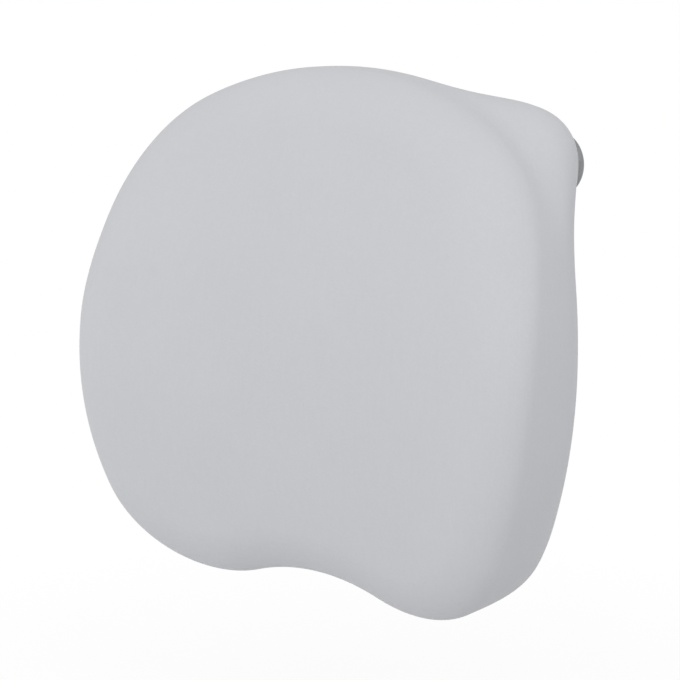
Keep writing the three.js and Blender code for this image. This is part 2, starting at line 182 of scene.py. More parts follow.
class PillowForm(bpy.types.PropertyGroup):
    """Sizes of the moulded pillow."""

    front_top: length("Front top", "Height of the front outline over the middle", 128)
    front_bottom: length("Front bottom", "Depth of the front lobes under the middle", 138.5)
    front_crown: length("Front crown", "Radius over the top of the front", 185)
    front_shoulder: length("Front shoulder", "Radius of the front shoulders", 98)
    front_shoulder_spread: length("Front shoulder spread", "Between the shoulder centres", 73.5)
    front_side: length("Front side", "Radius of the front's sides", 233)
    front_lobe: length("Front lobe", "Radius of the front lobes", 65)
    front_lobe_spread: length("Front lobe spread", "Between the lobe centres", 124)
    front_notch: length("Front notch", "Radius of the neck notch in front", 121)

    rear_top: length("Rear top", "Height of the rear outline over the middle", 117.5)
    rear_bottom: length("Rear bottom", "Depth of the rear lobes under the middle", 138)
    rear_crown: length("Rear crown", "Radius over the top of the rear", 193)
    rear_shoulder: length("Rear shoulder", "Radius of the rear shoulders", 69.5)
    rear_shoulder_spread: length("Rear shoulder spread", "Between the shoulder centres", 62)
    rear_side: length("Rear side", "Radius of the rear's sides", 284)
    rear_lobe: length("Rear lobe", "Radius of the rear lobes", 42)
    rear_lobe_spread: length("Rear lobe spread", "Between the lobe centres", 125)
    rear_notch: length("Rear notch", "Radius of the neck notch at the rear", 63)

    face_reach: length("Face reach", "Distance at which the depth's gains are given", 140)
    depth: length("Depth", "Depth at the middle", 87)
    depth_lean: length("Lean", "Depth gained towards the top", -5.5)
    depth_crown: length("Crown", "Depth gained at top and bottom", -27)
    depth_dish: length("Dish", "Depth gained at the sides", 8)
    depth_dish_lean: length("Dish lean", "Dish gained towards the top", -13.5)

    roll_width: length("Roll width", "Width of the rolled front edge", 26.5)
    roll_depth: length("Roll depth", "Depth of the rolled front edge", 17.5)
    roll_width_gain: length("Roll width gain", "What its width gains at the shoulders", 14.5)
    roll_depth_gain: length("Roll depth gain", "What its depth gains at the shoulders", 4)
    roll_turn: turn("Roll turn", "Where it gains most, from the top", 64)
    roll_upper: turn("Roll upper fade", "Turn over which that gain fades upwards", 34)
    roll_lower: turn("Roll lower fade", "Turn over which that gain fades downwards", 29.5)
    wall_swell: share("Wall swell", "How early the side wall swells to the front outline", 3.25)
    rear_edge: length("Rear edge", "Radius of the rear edge", 4.5)

    ear_reach: length("Ear reach", "Reach of an ear past its cup's axis", 24.5)
    ear_point: share("Ear point", "How pointed an ear's outline is", 2.35)
    ear_upper_fade: turn("Ear upper fade", "Turn over which an ear fades upwards", 41)
    ear_lower_fade: turn("Ear lower fade", "Turn over which an ear fades downwards", 36)
    ear_end: share("Ear end", "Share of the side wall over which an ear tapers away", 0.95)
    ear_hollow: share("Ear hollow", "How hollow that taper is", 1.38)
    ear_softness: share("Ear softness", "How softly that taper ends", 0.11)

    groove_depth: length("Groove depth", "Depth of the groove behind the roll", 0.3)
    groove_top: turn("Groove top", "Where the groove starts, from the top", 20)
    groove_bottom: turn("Groove bottom", "Where the groove ends, from the top", 115)
    groove_place: share("Groove place", "Share of the side wall where it lies", 0.7)
    groove_width: share("Groove width", "Its rear half width as a share of the side wall", 0.16)
    crease_depth: length("Crease depth", "What the groove gains in depth before an ear", 2.4)
    crease_width: share("Crease width", "What its rear half width gains there", 0.2)
    crease_turn: turn("Crease turn", "Where it is deepest, from the top", 53)
    crease_upper: turn("Crease upper fade", "Turn over which that gain fades upwards", 30)
    crease_lower: turn("Crease lower fade", "Turn over which that gain fades downwards", 17)

    upper_spread: length("Upper cup spread", "Between the upper cups' axes", 182)
    upper_rise: length("Upper cup rise", "Height of the upper cups' axes", 83)
    lower_spread: length("Lower cup spread", "Between the lower cups' axes", 124)
    lower_drop: length("Lower cup drop", "Depth of the lower cups' axes", 86)

    skin_thickness: length("Skin", "Thickness of the moulded skin", 2)
    plate_thickness: length("Plate", "Thickness of the backing plate", 3)
    plate_inset: length("Plate inset", "From the rear outline to the plate", 11)
    seat_gap: length("Seat gap", "Between pieces that are seated", 0.3)
    run_gap: length("Run gap", "Between pieces that move", 0.5)


class FittingForm(bpy.types.PropertyGroup):
    """Sizes of the suction cups and their sockets."""

    cup_radius: length("Cup radius", "Radius of the lip", 17)
    cup_lip: length("Cup lip", "Width of the flat lip", 2.2)
    cup_lip_edge: length("Lip edge", "Thickness of the lip", 0.9)
    cup_height: length("Cup height", "From the lip to the top of the dome", 7.5)
    cup_wall: length("Cup wall", "Thickness of the dome's crown", 1.8)
    cup_travel: length("Cup travel", "How far a cup gives", 4)
    neck_radius: length("Neck", "Radius of the neck", 4)
    neck_fillet: length("Neck fillet", "Radius where the neck meets the dome", 1.2)
    head_radius: length("Head", "Radius of the mushroom head", 6)
    head_nose: length("Nose", "Radius of the head's flat nose", 3.4)
    head_thickness: length("Head thickness", "Thickness of the head", 3.4)
    socket_lip: length("Socket lip", "Thickness of the lip that holds the head", 2.4)
    socket_lead: length("Socket lead", "Width of the mouth's lead-in", 1)
    socket_wall: length("Socket wall", "Thickness of the barrel", 1.8)
    socket_floor: length("Socket floor", "Thickness of the closed end", 1.8)
    flange_width: length("Flange", "Width of the flange", 4)
    flange_thickness: length("Flange thickness", "Thickness of the flange", 1.8)
    edge_round: length("Edge round", "Rounding of the small edges", 0.4)


class PillowFinish(bpy.types.PropertyGroup):
    """Colours of the pieces."""

    skin: colour("Skin", "Light grey of the moulded skin", (0.597, 0.604, 0.631))
    foam: colour("Foam", "Cream of the soft foam", (0.687, 0.658, 0.578))
    plate: colour("Plate", "Pale grey of the backing plate", (0.791, 0.799, 0.807))
    socket: colour("Socket", "Grey of the sockets", (0.485, 0.497, 0.515))
    cup: colour("Cup", "Mid grey of the soft cups", (0.27, 0.279, 0.287))
    floor: colour("Floor", "White of the studio floor", (0.92, 0.92, 0.92))


# Levels along Y that the pieces share, from the wall into the pillow


def rear_level(cup, form):
    """The rear face stands off the wall by the cup's height, its travel and a running gap."""
    return -(cup.cup_height + cup.cup_travel + form.run_gap)


def inside_level(cup, form):
    return rear_level(cup, form) - form.skin_thickness - form.seat_gap


def plate_front_level(cup, form):
    return inside_level(cup, form) - form.plate_thickness


def flange_levels(cup, form):
    back = plate_front_level(cup, form) - form.seat_gap
    return back, back - cup.flange_thickness


def head_levels(cup, form):
    back = rear_level(cup, form) - cup.socket_lip - form.seat_gap
    return back, back - cup.head_thickness


def chamber_levels(cup, form):
    front = head_levels(cup, form)[1] - cup.cup_travel - form.run_gap
    return rear_level(cup, form) - cup.socket_lip, front


def barrel_radius(cup, form):
    return cup.head_radius + form.run_gap + cup.socket_wall


def seats(form):
    """Where the cups' axes meet the wall, by place."""
    upper = form.upper_spread / 2, form.upper_rise
    lower = form.lower_spread / 2, -form.lower_drop
    return {
        "upper_left": (-upper[0], upper[1]),
        "upper_right": upper,
        "lower_left": (-lower[0], lower[1]),
        "lower_right": lower,
    }


# Form of the pillow


def ease(x):
    """Half a cosine wave from 1 at x = 0 down to 0 at x = 1, level outside."""
    return 0.5 + 0.5 * np.cos(np.pi * np.clip(x, 0, 1))


def half_outline(top, bottom, crown, shoulder, shoulder_spread, side, lobe, lobe_spread, notch):
    """Right half of an outline as turns from straight up and reaches from the middle.

    Crown, shoulder, side, lobe and notch are circular arcs, each tangent to the next: a point is
    the arc's centre plus its radius times the direction at evenly spaced headings.
    """
    crown_at = np.array([0, top - crown])
    shoulder_x = shoulder_spread / 2
    shoulder_at = crown_at + [shoulder_x, math.sqrt((crown - shoulder) ** 2 - shoulder_x**2)]
    lobe_at = np.array([lobe_spread / 2, lobe - bottom])
    along = lobe_at - shoulder_at
    span = np.hypot(*along)
    along /= span
    run = ((side - shoulder) ** 2 - (side - lobe) ** 2 + span**2) / (2 * span)
    rise = math.sqrt((side - shoulder) ** 2 - run**2)
    side_at = shoulder_at + along * run + np.array([along[1], -along[0]]) * rise
    notch_at = np.array([0, lobe_at[1] - math.sqrt((notch + lobe) ** 2 - lobe_at[0] ** 2)])

    def heading(start, end):
        return math.atan2(end[1] - start[1], end[0] - start[0])

    to_shoulder = heading(crown_at, shoulder_at)
    to_side = heading(side_at, shoulder_at)
    to_lobe = heading(side_at, lobe_at)
    arcs = (
        (crown_at, crown, math.pi / 2, to_shoulder),
        (shoulder_at, shoulder, to_shoulder, to_side),
        (side_at, side, to_side, to_lobe),
        (lobe_at, lobe, to_lobe, heading(lobe_at, notch_at)),
        (notch_at, notch, heading(notch_at, lobe_at), math.pi / 2),
    )
    headings = np.concatenate([np.linspace(first, last, ARC_POINTS) for _, _, first, last in arcs])
    centres = np.repeat([centre for centre, *_ in arcs], ARC_POINTS, axis=0)
    radii = np.repeat([radius for _, radius, *_ in arcs], ARC_POINTS)
    x = centres[:, 0] + radii * np.cos(headings)
    z = centres[:, 1] + radii * np.sin(headings)
    return np.arctan2(np.abs(x), z), np.hypot(x, z)


def outline_reach(form, end, turns):
    """Reach of the front or rear outline at the given turns, the same on both sides."""
    names = "top bottom crown shoulder shoulder_spread side lobe lobe_spread notch"
    known = half_outline(*(getattr(form, f"{end}_{name}") for name in names.split()))
    return np.interp(np.abs(turns), *known)


def wave(turns, top, upper_fade, lower_fade):
    """A cosine wave round the outline on both sides: 1 at its top, faded out to each side."""
    past = np.abs(turns) - top
    return ease(np.abs(past) / np.where(past < 0, upper_fade, lower_fade))


def ear_bump(form, turns):
    """What the ears add to the rear outline: a wave to a power, highest at the upper cups."""
    x, z = seats(form)["upper_right"]
    middle = math.atan2(x, z)
    full = math.hypot(x, z) + form.ear_reach - outline_reach(form, "rear", np.array([middle]))[0]
    return full * wave(turns, middle, form.ear_upper_fade, form.ear_lower_fade) ** form.ear_point


def ear_share(form, s):
    """How much of an ear stands at share s of the side wall: a hollow taper that ends softly."""
    left = 1 - s / form.ear_end
    taper = (left + np.hypot(left, form.ear_softness)) / (1 + math.hypot(1, form.ear_softness))
    return taper**form.ear_hollow


def roll_sizes(form, turns):
    """Width and depth of the roll: the same all round, and more in a wave at each shoulder."""
    gain = wave(turns, form.roll_turn, form.roll_upper, form.roll_lower)
    width = form.roll_width + form.roll_width_gain * gain
    return width, form.roll_depth + form.roll_depth_gain * gain


def groove(form, turns, s):
    """Depth of the groove behind the roll.

    Along the wall it is a cosine wave about its place, ending at the roll. Round the outline it
    has one depth from its top to its bottom end, and before the ears it is a deeper, wider crease.
    """
    middle = (form.groove_top + form.groove_bottom) / 2
    quarter = (form.groove_bottom - form.groove_top) / 4
    level = ease((np.abs(np.abs(turns) - middle) - quarter) / quarter)
    crease = wave(turns, form.crease_turn, form.crease_upper, form.crease_lower)
    past = s - form.groove_place
    behind = form.groove_width + form.crease_width * crease
    across = ease(np.where(past < 0, -past / behind, past / (1 - form.groove_place)))
    return (form.groove_depth * level + form.crease_depth * crease) * across


def spaced_turns(form, steps):
    """Turns from straight up that space points evenly along the rear outline, ears included."""
    fine = np.linspace(0, np.pi, FINE_TURNS)
    reach = outline_reach(form, "rear", fine) + ear_bump(form, fine)
    x, z = reach * np.sin(fine), reach * np.cos(fine)
    run = np.concatenate([[0], np.cumsum(np.hypot(np.diff(x), np.diff(z)))])
    right = np.interp(np.linspace(0, run[-1], steps // 2 + 1), run, fine)
    return np.concatenate([right, -right[-2:0:-1]])


def loop_at(turns, reach):
    return np.stack([reach * np.sin(turns), reach * np.cos(turns)], axis=-1)


def outward_of(loop):
    """Unit directions square to a loop that runs clockwise seen from the front."""
    along = np.roll(loop, -1, axis=0) - np.roll(loop, 1, axis=0)
    across = np.stack([-along[:, 1], along[:, 0]], axis=-1)
    return across / np.linalg.norm(across, axis=1, keepdims=True)


def depth_over(form, points):
    """Depth over points of the rear face: level, lean and crown by height, dish by width squared."""
    up = points[..., 1] / form.face_reach
    out = points[..., 0] / form.face_reach
    dish = form.depth_dish + form.depth_dish_lean * up
    return form.depth + form.depth_lean * up + form.depth_crown * up**2 + dish * out**2


def raised(points, level):
    """Points of the XZ plane at a level along Y."""
    level = np.broadcast_to(level, points.shape[:-1])
    return np.stack([points[..., 0], level, points[..., 1]], axis=-1)


def pillow_rings(form, rear_y, turns, inset, wall_steps, roll_steps, face_steps):
    """Rings of points from the rear edge over side wall, roll and face, moved in by an inset.

    Rear edge: a quarter circle. Side wall at share s: the rear outline drawn to the front one by
    1 - (1 - s)^swell, plus the ear, less the groove. Roll: a quarter ellipse. Face: the roll's
    inner loop drawn to the middle, at the depth over each point.
    """
    front = loop_at(turns, outline_reach(form, "front", turns))
    rear = loop_at(turns, outline_reach(form, "rear", turns))
    ear = loop_at(turns, ear_bump(form, turns))
    front_out = outward_of(front)
    rear_out = outward_of(rear + ear)

    angle = np.linspace(0, np.pi / 2, EDGE_STEPS + 1)[:, None, None]
    edge = form.rear_edge - inset
    edge_points = rear + ear - rear_out * (inset + edge * (1 - np.sin(angle)))
    edge_rings = raised(edge_points, rear_y - inset - edge * (1 - np.cos(angle[..., 0])))

    s = np.linspace(0, 1, wall_steps + 1)[1:, None]
    swell = (1 - (1 - s) ** form.wall_swell)[..., None]
    wall = rear - rear_out * inset
    wall = wall + (front - front_out * inset - wall) * swell
    wall = wall + ear * ear_share(form, s)[..., None]
    wall = wall - front_out * groove(form, turns, s)[..., None]
    roll_width, roll_depth = roll_sizes(form, turns)
    wall_end = depth_over(form, front) - roll_depth
    wall_rings = raised(wall, rear_y - form.rear_edge - (wall_end - form.rear_edge) * s)

    angle = np.linspace(0, np.pi / 2, roll_steps + 1)[1:, None]
    back = inset + (roll_width - inset) * (1 - np.cos(angle))
    sunk = inset + (roll_depth - inset) * (1 - np.sin(angle))
    roll = front - front_out * back[..., None]
    roll_rings = raised(roll, rear_y - depth_over(form, roll) + sunk)

    inner = front - front_out * roll_width[:, None]
    face = inner * np.linspace(1, 0, face_steps + 1)[1:-1, None, None]
    face_rings = raised(face, rear_y - depth_over(form, face) + inset)
    return np.concatenate([edge_rings, wall_rings, roll_rings, face_rings])


def front_pole(form, rear_y, inset):
    return np.array([0, rear_y - depth_over(form, np.zeros(2)) + inset, 0])


# Meshes


def closed_grid(rings, first_pole, last_pole):
    """Points and faces of a grid of rings that closes round each ring and in a pole at each end."""
    count, steps = rings.shape[:2]
    points = np.concatenate([rings.reshape(-1, 3), [first_pole, last_pole]])
    here = np.arange(count * steps).reshape(count, steps)
    beside = np.roll(here, -1, axis=1)
    quads = np.stack([here[:-1], here[1:], beside[1:], beside[:-1]], axis=-1).reshape(-1, 4)
    first = np.full(steps, count * steps)
    start = np.stack([first, here[0], beside[0]], axis=-1)
    end = np.stack([here[-1], first + 1, beside[-1]], axis=-1)
    return points, [*quads.tolist(), *start.tolist(), *end.tolist()]


def joined(*parts):
    """Several point and face lists as one."""
    points, faces, base = [], [], 0
    for part_points, part_faces in parts:
        points.append(part_points)
        faces += [[corner + base for corner in face] for face in part_faces]
        base += len(part_points)
    return np.concatenate(points), faces


def turned_over(part):
    points, faces = part
    return points, [face[::-1] for face in faces]


def piece(name, part):
    """A mesh object at the origin from points and faces."""
    points, faces = part
    mesh = bpy.data.meshes.new(name)
    mesh.from_pydata(points, [], faces)
    mesh.validate()
    made = bpy.data.objects.new(name, mesh)
    bpy.context.scene.collection.objects.link(made)
    return made


def smooth(made, degrees):
    """Smooth shading that breaks at edges sharper than the given angle."""
    made.data.shade_smooth()
    made.data.set_sharp_from_angle(angle=math.radians(degrees))


def lathed(profile, seat, steps=SOCKET_STEPS):
    """A profile of radii and levels along Y carried round a cup's axis.

    A point at turn t is the seat plus its radius times (cos t, sin t), at its own level. The
    profile starts and ends on the axis, and runs so that the faces point outwards.
    """
    profile = np.asarray(profile, float)
    angle = np.linspace(0, 2 * np.pi, steps, endpoint=False)
    radius, level = profile[1:-1, :1], profile[1:-1, 1:]
    x = seat[0] + radius * np.cos(angle)
    z = seat[1] + radius * np.sin(angle)
    rings = np.stack([x, np.broadcast_to(level, x.shape), z], axis=-1)
    poles = ((seat[0], profile[end, 1], seat[1]) for end in (0, -1))
    return closed_grid(rings, *poles)


def bend(start, knee, end, steps=8):
    """A quadratic curve from start to end that leaves and arrives along the lines to the knee."""
    t = np.linspace(0, 1, steps + 1)[:, None]
    start, knee, end = (np.asarray(p, float) for p in (start, knee, end))
    return (1 - t) ** 2 * start + 2 * t * (1 - t) * knee + t**2 * end


def eased(corners, radius):
    """A line of radii and levels whose inner corners are each cut by a small bend."""
    corners = np.asarray(corners, float)
    parts = [corners[:1]]
    for before, corner, after in zip(corners[:-2], corners[1:-1], corners[2:]):
        back, ahead = before - corner, after - corner
        back_run, ahead_run = np.hypot(*back), np.hypot(*ahead)
        cut = min(radius, back_run * CUT_SHARE, ahead_run * CUT_SHARE)
        start, end = corner + back * cut / back_run, corner + ahead * cut / ahead_run
        parts.append(bend(start, corner, end, CUT_STEPS))
    return np.concatenate([*parts, corners[-1:]])


def cut_away(made, part):
    """Takes a closed form out of a piece."""
    cutter = piece(made.name + "_cutter", part)
    modifier = made.modifiers.new("holes", "BOOLEAN")
    modifier.operation = "DIFFERENCE"
    modifier.solver = "EXACT"
    modifier.object = cutter
    graph = bpy.context.evaluated_depsgraph_get()
    cut = bpy.data.meshes.new_from_object(made.evaluated_get(graph))
    made.modifiers.clear()
    whole = made.data
    made.data = cut
    cut.name = made.name
    bpy.data.meshes.remove(whole)
    mesh = cutter.data
    bpy.data.objects.remove(cutter)
    bpy.data.meshes.remove(mesh)


# Finishes


class Wire:
    """An output of a material's nodes. Arithmetic on it adds Math nodes."""

    def __init__(self, finish, socket):
        self.finish = finish
        self.socket = socket

    def math(self, operation, first, second=0.0):
        return self.finish.node("ShaderNodeMath", {"operation": operation}, {0: first, 1: second})

    def __add__(self, other):
        return self.math("ADD", self, other)

    def __radd__(self, other):
        return self.math("ADD", other, self)

    def __sub__(self, other):
        return self.math("SUBTRACT", self, other)

    def __rsub__(self, other):
        return self.math("SUBTRACT", other, self)

    def __mul__(self, other):
        return self.math("MULTIPLY", self, other)

    def __rmul__(self, other):
        return self.math("MULTIPLY", other, self)

    def clipped(self):
        return self.math("MINIMUM", self.math("MAXIMUM", self, 0.0), 1.0)


class Finish:
    """The nodes of a material or of the world."""

    def __init__(self, owner):
        owner.use_nodes = True
        self.owner = owner
        self.tree = owner.node_tree
        self.tree.nodes.clear()

    @classmethod
    def named(cls, name):
        return cls(bpy.data.materials.new(name))

    def node(self, kind, settings=None, inputs=None, output=0):
        """Adds a node, sets it, feeds its sockets and returns one of its outputs."""
        made = self.tree.nodes.new(kind)
        for name, value in (settings or {}).items():
            if name == "stops":
                self.set_stops(made.color_ramp, value)
            else:
                setattr(made, name, value)
        for key, value in (inputs or {}).items():
            if isinstance(value, Wire):
                self.tree.links.new(value.socket, made.inputs[key])
            else:
                made.inputs[key].default_value = value
        return Wire(self, made.outputs[output]) if made.outputs else None

    @staticmethod
    def set_stops(ramp, stops):
        ramp.elements[0].position, ramp.elements[0].color = stops[0]
        ramp.elements[1].position, ramp.elements[1].color = stops[-1]
        for position, value in stops[1:-1]:
            ramp.elements.new(position).color = value

    def place(self, stretch=(1, 1, 1)):
        """Object coordinates, stretched along the axes."""
        where = self.node("ShaderNodeTexCoord", output="Object")
        return self.node("ShaderNodeMapping", inputs={"Vector": where, "Scale": stretch})

    def noise(self, where, scale, detail=2.0, roughness=0.5):
        values = {"Vector": where, "Scale": scale, "Detail": detail, "Roughness": roughness}
        return self.node("ShaderNodeTexNoise", inputs=values)

    def cells(self, where, scale, feature="F1"):
        values = {"Vector": where, "Scale": scale}
        return self.node("ShaderNodeTexVoronoi", {"feature": feature}, values, "Distance")

    def blend(self, factor, first, second):
        """First colour where the factor is 0, second where it is 1."""
        return self.node("ShaderNodeMix", {"data_type": "RGBA"}, {0: factor, 6: first, 7: second}, 2)

    def along(self, where, direction):
        """How far a place or direction lies along a given direction."""
        settings = {"operation": "DOT_PRODUCT"}
        return self.node("ShaderNodeVectorMath", settings, {0: where, 1: direction}, "Value")

    def mixed(self, factor, first, second):
        """First shader where the factor is 0, second where it is 1."""
        return self.node("ShaderNodeMixShader", inputs={0: factor, 1: first, 2: second})

    def ray_is(self, *kinds):
        """1 for light paths of the given kinds, 0 for others."""
        path = self.node("ShaderNodeLightPath", output=f"Is {kinds[0]} Ray")
        for kind in kinds[1:]:
            path = path + self.node("ShaderNodeLightPath", output=f"Is {kind} Ray")
        return path.clipped()

    def bump(self, height, distance, strength=1.0):
        values = {"Height": height, "Distance": distance, "Strength": strength}
        return self.node("ShaderNodeBump", inputs=values)

    def surface(self, values):
        """Ends the material in a Principled surface with the given sockets."""
        shader = self.node("ShaderNodeBsdfPrincipled", inputs=values)
        self.node("ShaderNodeOutputMaterial", inputs={"Surface": shader})
        return self.owner


def tint(value, gain):
    """A colour times a gain, opaque."""
    return (*(min(1.0, part * gain) for part in value), 1.0)


def skin_finish(value):
    """Satin moulded skin: fine pebbles, upright streaks, faint clouds and a few small scuffs."""
    finish = Finish.named("satin_moulded_skin")
    where = finish.place()
    pebbles = finish.cells(where, scale=780.0, feature="SMOOTH_F1")
    streaks = finish.noise(finish.place((1, 1, 0.12)), scale=480.0, detail=3.0, roughness=0.6)
    clouds = finish.noise(where, scale=16.0, detail=3.0, roughness=0.55)
    pores = finish.noise(where, scale=2600.0, detail=1.0)
    spots = (1 - 9 * finish.cells(where, scale=24.0)).clipped()
    scuffs = spots * finish.noise(where, scale=320.0, detail=3.0)
    grain = 0.45 * pebbles + 0.8 * streaks + 0.12 * pores - 0.8 * scuffs
    tone = (0.5 * clouds + 0.35 * streaks + 0.3 * pebbles - 0.3 * scuffs).clipped()
    base = finish.blend(tone, tint(value, 0.95), tint(value, 1.045))
    return finish.surface(
        {
            "Base Color": base,
            "Roughness": 0.5 + 0.12 * (streaks + clouds) - 0.06,
            "Specular IOR Level": 0.2,
            "Normal": finish.bump(grain, distance=0.0002, strength=0.55),
        }
    )


def foam_finish(value):
    """Open soft foam: small round cells, with painted shade that darkens their hollows."""
    finish = Finish.named("soft_open_foam")
    where = finish.place()
    hollows = finish.cells(where, scale=900.0)
    coarse = finish.cells(where, scale=340.0)
    clouds = finish.noise(where, scale=30.0, detail=3.0)
    depth = (0.7 * hollows + 0.5 * coarse).clipped()
    # Painted shade: the colour is darker where the cell bump sinks into hollows, mixed with random
    # clouds of tone
    shade = (0.6 * depth + 0.4 * clouds).clipped()
    return finish.surface(
        {
            "Base Color": finish.blend(shade, tint(value, 0.8), tint(value, 1.08)),
            "Roughness": 0.86 + 0.12 * clouds,
            "Specular IOR Level": 0.2,
            "Normal": finish.bump(depth, distance=0.0006, strength=0.8),
        }
    )


def plastic_finish(name, value, roughness):
    """Matte moulded plastic: spark-eroded texture and faint flow marks."""
    finish = Finish.named(name)
    where = finish.place()
    spark = finish.noise(where, scale=3200.0, detail=2.0, roughness=0.6)
    flow = finish.noise(finish.place((1, 1, 0.3)), scale=60.0, detail=4.0, roughness=0.6)
    return finish.surface(
        {
            "Base Color": finish.blend(flow, tint(value, 0.95), tint(value, 1.04)),
            "Roughness": roughness + 0.14 * (spark + flow) - 0.1,
            "Normal": finish.bump(spark, distance=0.00008, strength=0.5),
        }
    )


def cup_finish(value):
    """Soft grey vinyl: glossy, with a faint bloom and fine mould marks."""
    finish = Finish.named("soft_grey_vinyl")
    where = finish.place()
    bloom = finish.noise(where, scale=120.0, detail=3.0, roughness=0.6)
    marks = finish.noise(finish.place((1, 6, 1)), scale=420.0, detail=2.0)
    return finish.surface(
        {
            "Base Color": finish.blend(bloom, tint(value, 0.9), tint(value, 1.08)),
            "Roughness": 0.24 + 0.2 * bloom * marks,
            "Coat Weight": 0.2 + 0.15 * (1 - bloom),
            "Coat Roughness": 0.2,
            "Normal": finish.bump(marks, distance=0.0001, strength=0.25),
        }
    )


def floor_finish(value):
    """Studio floor: white to the camera away from the pillow, and a soft shadow close to it.

    Its colour for light thrown back at the pillow holds painted shade: darker behind on the right
    than in front on the left.
    White gives way to shadow over the near stretch of the ramp, in metres from the middle.
    """
    finish = Finish.named("white_studio_floor")
    seen = finish.ray_is("Camera", "Glossy", "Transmission")
    where = finish.node("ShaderNodeTexCoord", output="Object")
    reach = finish.node("ShaderNodeVectorMath", {"operation": "LENGTH"}, {0: where}, "Value")
    clouds = finish.noise(where, scale=6.0, detail=3.0)
    ramp = {"stops": [(0.12, (0.82, 0.82, 0.82, 1)), (0.4, (1, 1, 1, 1))]}
    far = finish.node("ShaderNodeValToRGB", ramp, {"Fac": reach})
    # Painted shade: the colour that lights the pillow fades to 0.55 of the floor's white behind on
    # the right
    behind = (0.5 + finish.along(where, (1.0, 1.3, 0.0))).clipped()
    bounce_with_painted_shade = finish.blend(behind, tint(value, 1.0), tint(value, 0.55))
    shown = finish.blend(clouds, tint(value, 0.99), tint(value, 1.01))
    base = finish.blend(seen, bounce_with_painted_shade, shown)
    inputs = {"Base Color": base, "Roughness": 0.9, "Specular IOR Level": 0.0}
    matte = finish.node("ShaderNodeBsdfPrincipled", inputs=inputs)
    white = finish.node("ShaderNodeEmission", inputs={"Color": (1, 1, 1, 1), "Strength": 1.0})
    shader = finish.mixed(seen * far, matte, white)
    finish.node("ShaderNodeOutputMaterial", inputs={"Surface": shader})
    return finish.owner


def dress(made, material):
    """Gives a piece one material."""
    made.data.materials.clear()
    made.data.materials.append(material)


def settings_of(context):
    scene = context.scene
    return scene.pillow_form, scene.fitting_form, scene.pillow_finish


# Operators


class MouldedSkin(bpy.types.Operator):
    """Builds the moulded skin, a closed shell with a round hole at each socket."""

    bl_idname = "bath_pillow.moulded_skin"
    bl_label = "Moulded skin"

    def execute(self, context):
        form, cup, finish = settings_of(context)
        rear_y = rear_level(cup, form)
        outer = self.shell(form, rear_y, SKIN_STEPS, 0, SKIN_RINGS)
        inner = self.shell(form, rear_y, LINING_STEPS, form.skin_thickness, LINING_RINGS)
        made = piece("moulded_skin", joined(outer, turned_over(inner)))
        cut_away(made, joined(*(self.hole(form, cup, seat) for seat in seats(form).values())))
        smooth(made, SKIN_CORNER)
        dress(made, skin_finish(finish.skin))
        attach(made, "pillow")
        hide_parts("skin")
        return {"FINISHED"}

    @staticmethod
    def shell(form, rear_y, steps, inset, counts):
        """The pillow's closed form moved in by an inset."""
        rings = pillow_rings(form, rear_y, spaced_turns(form, steps), inset, *counts)
        shares = np.linspace(0, 1, REAR_STEPS + 1)[1:-1, None, None]
        inward = rings[0] * np.array([1, 0, 1]) * shares + np.array([0, rear_y - inset, 0])
        rings = np.concatenate([inward, rings])
        return closed_grid(rings, (0, rear_y - inset, 0), front_pole(form, rear_y, inset))

    @staticmethod
    def hole(form, cup, seat):
        """What is cut out for a socket: a round hole whose outer edge is flared."""
        radius = barrel_radius(cup, form) + form.seat_gap
        rear_y = rear_level(cup, form)
        front = inside_level(cup, form) - form.skin_thickness
        wide, end = radius + FLARE_WIDTH, rear_y + CUTTER_RISE
        start = radius, rear_y - FLARE_DEPTH
        flare = bend(start, (radius, rear_y), (wide, rear_y + FLARE_RISE), FLARE_STEPS)
        return lathed([(0, front), (radius, front), *flare, (wide, end), (0, end)], seat)


class FoamFilling(bpy.types.Operator):
    """Builds the foam that fills the skin, with room for the plate and the sockets."""

    bl_idname = "bath_pillow.foam_filling"
    bl_label = "Foam filling"

    def execute(self, context):
        form, cup, finish = settings_of(context)
        rear_y = rear_level(cup, form)
        inset = form.skin_thickness + form.seat_gap
        turns = spaced_turns(form, FOAM_STEPS)
        rings = pillow_rings(form, rear_y, turns, inset, *FOAM_RINGS)
        rear = outline_reach(form, "rear", turns) + ear_bump(form, turns)
        loop = loop_at(turns, rear)
        recess = loop - outward_of(loop) * (form.plate_inset - form.seat_gap)
        floor_y = plate_front_level(cup, form) - form.seat_gap
        shares = np.linspace(0, 1, REAR_STEPS + 1)[1:, None, None]
        sunk = raised(recess * shares, floor_y)
        rim = raised(recess, rear_y - inset)[None]
        rings = np.concatenate([sunk, rim, rings])
        pole = (0, floor_y, 0)
        made = piece("foam_filling", closed_grid(rings, pole, front_pole(form, rear_y, inset)))
        cut_away(made, joined(*(self.room(form, cup, seat) for seat in seats(form).values())))
        smooth(made, FOAM_CORNER)
        dress(made, foam_finish(finish.foam))
        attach(made, "pillow")
        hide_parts("foam_core")
        return {"FINISHED"}

    @staticmethod
    def room(form, cup, seat):
        """Room round a socket: its flange and barrel with a gap, open to the rear."""
        rear_y = rear_level(cup, form)
        barrel = barrel_radius(cup, form) + form.seat_gap
        flange = barrel + cup.flange_width
        flange_front = flange_levels(cup, form)[1] - form.seat_gap
        front = chamber_levels(cup, form)[1] - cup.socket_floor - form.seat_gap
        profile = [(0, front), (barrel, front), (barrel, flange_front), (flange, flange_front)]
        return lathed([*profile, (flange, rear_y), (0, rear_y)], seat, ROOM_STEPS)


class BackingPlate(bpy.types.Operator):
    """Gives the backing plate its moulded plastic."""

    bl_idname = "bath_pillow.backing_plate"
    bl_label = "Backing plate"

    def execute(self, context):
        finish = settings_of(context)[2]
        material = plastic_finish("pale_plate_plastic", finish.plate, roughness=0.5)
        dress(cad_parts["backing_plate"], material)
        return {"FINISHED"}


